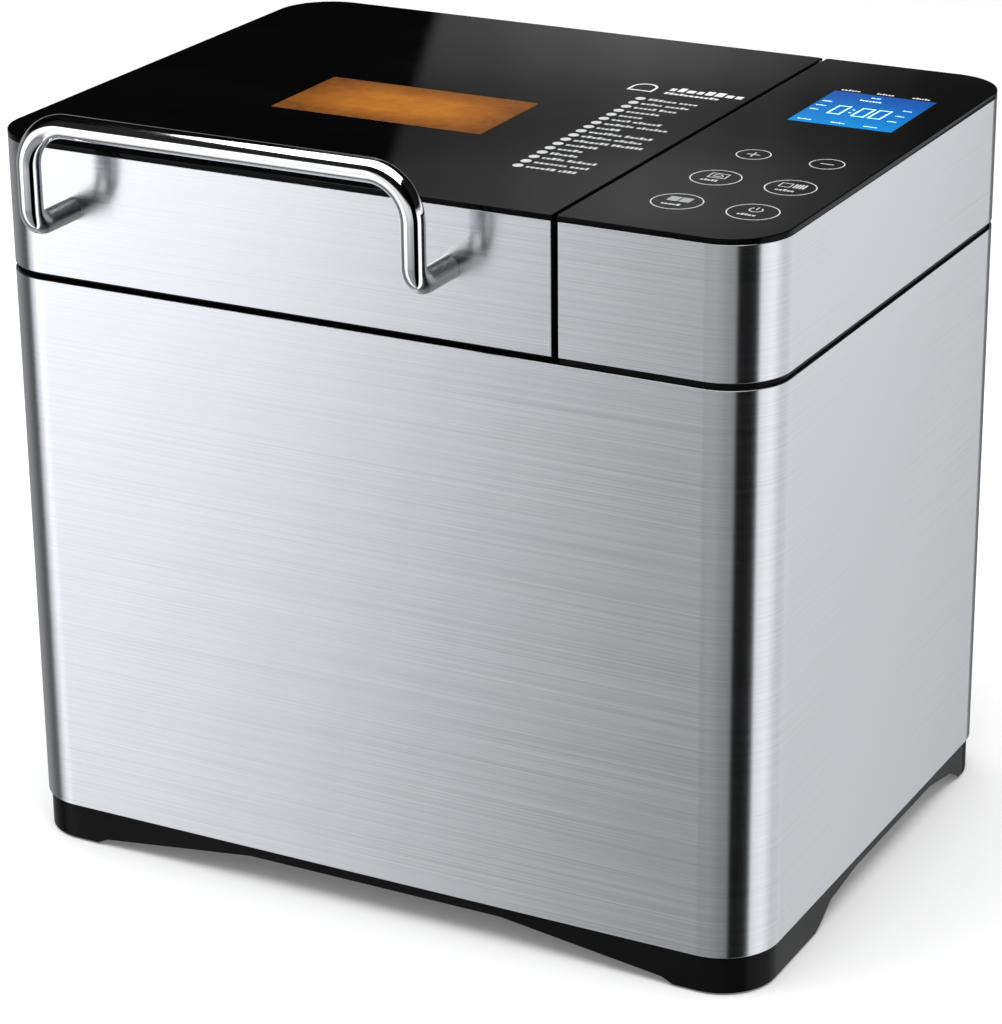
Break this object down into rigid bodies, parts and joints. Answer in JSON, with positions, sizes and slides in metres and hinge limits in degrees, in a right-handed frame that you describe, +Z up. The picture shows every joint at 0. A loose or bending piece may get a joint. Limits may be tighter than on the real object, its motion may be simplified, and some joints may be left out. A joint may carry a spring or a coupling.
{
  "type": "bread machine",
  "caption": "Countertop bread machine with a brushed steel body, a hinged lid with window and rod handle, a fixed glass control head, and a lift-out pan with a driven paddle.",
  "frame": {"origin": "on the table under the middle of the overall box, which runs from the handle's front to the hinges' back", "axes": "+X to the right seen from the front, +Y to the back, +Z up"},
  "size_m": [0.36, 0.3073, 0.3495],
  "materials": {
    "steel": "horizontal brushed",
    "gloss_black": "gloss",
    "matte_black": "matt",
    "grey_plastic": "matt",
    "dark_plastic": "matt",
    "rubber": "matt",
    "coated_metal": "satin powder coat",
    "zinc": "zinc plated",
    "bright_metal": "satin",
    "heater_tube": "oxidised",
    "ceramic": "matt",
    "brass": "satin",
    "spring_steel": "satin",
    "motor_metal": "satin",
    "capacitor_can": "satin",
    "board_green": "solder mask",
    "part_blue": "matt",
    "display": "lit display",
    "black_glass": "polished, printed black behind",
    "amber_glass": "polished",
    "clear_glass": "polished",
    "chrome": "mirror",
    "nonstick": "satin non-stick coat"
  },
  "bodies": {
    "base": {"rubber_feet": "rubber", "base_tray": "gloss_black", "base_screws": "zinc", "body_wrap": "steel", "rear_panel": "coated_metal", "rear_screws": "zinc", "cord_gland": "matte_black", "top_deck": "gloss_black", "chassis": "zinc", "chassis_screws": "zinc", "liner": "bright_metal", "liner_standoffs": "zinc", "pan_socket": "bright_metal", "heater": "heater_tube", "heater_clips": "zinc", "heater_bushes": "ceramic", "temp_probe": "brass", "thermal_fuse": "ceramic", "pan_springs": "spring_steel", "bearing_housing": "bright_metal", "drive_bushes": "brass", "drive_belt": "rubber", "motor_body": "motor_metal", "motor_mounts": "rubber", "run_capacitor": "capacitor_can", "power_board": "board_green", "power_parts": "part_blue", "hinge_leaves_body": "spring_steel", "hinge_pins": "zinc", "head_housing": "gloss_black", "head_band": "steel", "head_glass": "black_glass", "display_module": "display", "control_board": "board_green", "touch_springs": "brass", "head_screws": "zinc"},
    "lid": {"lid_frame": "gloss_black", "lid_band": "steel", "lid_glass": "black_glass", "window_pane": "amber_glass", "window_tunnel": "matte_black", "inner_pane": "clear_glass", "lid_liner": "bright_metal", "handle_rod": "chrome", "lid_screws": "zinc", "hinge_leaves_lid": "spring_steel", "dispenser_box": "grey_plastic", "dispenser_motor": "motor_metal"},
    "flap": {"dispenser_flap": "grey_plastic"},
    "pan": {"pan_body": "nonstick", "pan_bearing": "brass"},
    "bail": {"pan_bail": "spring_steel"},
    "paddle": {"paddle": "nonstick"},
    "drive": {"drive_shaft": "spring_steel", "drive_coupler": "bright_metal", "drive_pulley": "dark_plastic", "drive_nut": "zinc"},
    "rotor": {"motor_shaft": "spring_steel", "motor_pulley": "bright_metal", "motor_fan": "dark_plastic"}
  },
  "joints": [
    {"name": "lid_open", "type": "hinge", "parent": "base", "child": "lid", "pos_m": [-0.045, 0.15085, 0.2675], "axis": [-1, 0, 0], "range_deg": [0, 90]},
    {"name": "pan_lift", "type": "slide", "parent": "base", "child": "pan", "axis": [0, 0, 1], "range_m": [0, 0.1257]},
    {"name": "bail_swing", "type": "hinge", "parent": "pan", "child": "bail", "pos_m": [-0.045, 0.01335, 0.238], "axis": [-1, 0, 0], "range_deg": [0, 90]},
    {"name": "flap_drop", "type": "hinge", "parent": "lid", "child": "flap", "pos_m": [-0.0415, 0.06785, 0.296], "axis": [1, 0, 0], "range_deg": [0, 75]},
    {"name": "drive_spin", "type": "hinge", "parent": "base", "child": "drive", "pos_m": [-0.045, 0.01335, 0.028], "axis": [0, 0, 1], "continuous": true},
    {"name": "motor_spin", "type": "hinge", "parent": "base", "child": "rotor", "pos_m": [0.13, 0.01335, 0.028], "axis": [0, 0, 1], "continuous": true},
    {"name": "paddle_spin", "type": "hinge", "parent": "pan", "child": "paddle", "pos_m": [-0.045, 0.01335, 0.09], "axis": [0, 0, 1], "continuous": true}
  ],
  "couplings": [
    {"joint": "pan_lift", "follows": "lid_open", "m_per_rad": 0.08},
    {"joint": "bail_swing", "follows": "lid_open", "ratio": 1},
    {"joint": "motor_spin", "follows": "drive_spin", "ratio": 6},
    {"joint": "paddle_spin", "follows": "drive_spin", "ratio": 1}
  ]
}
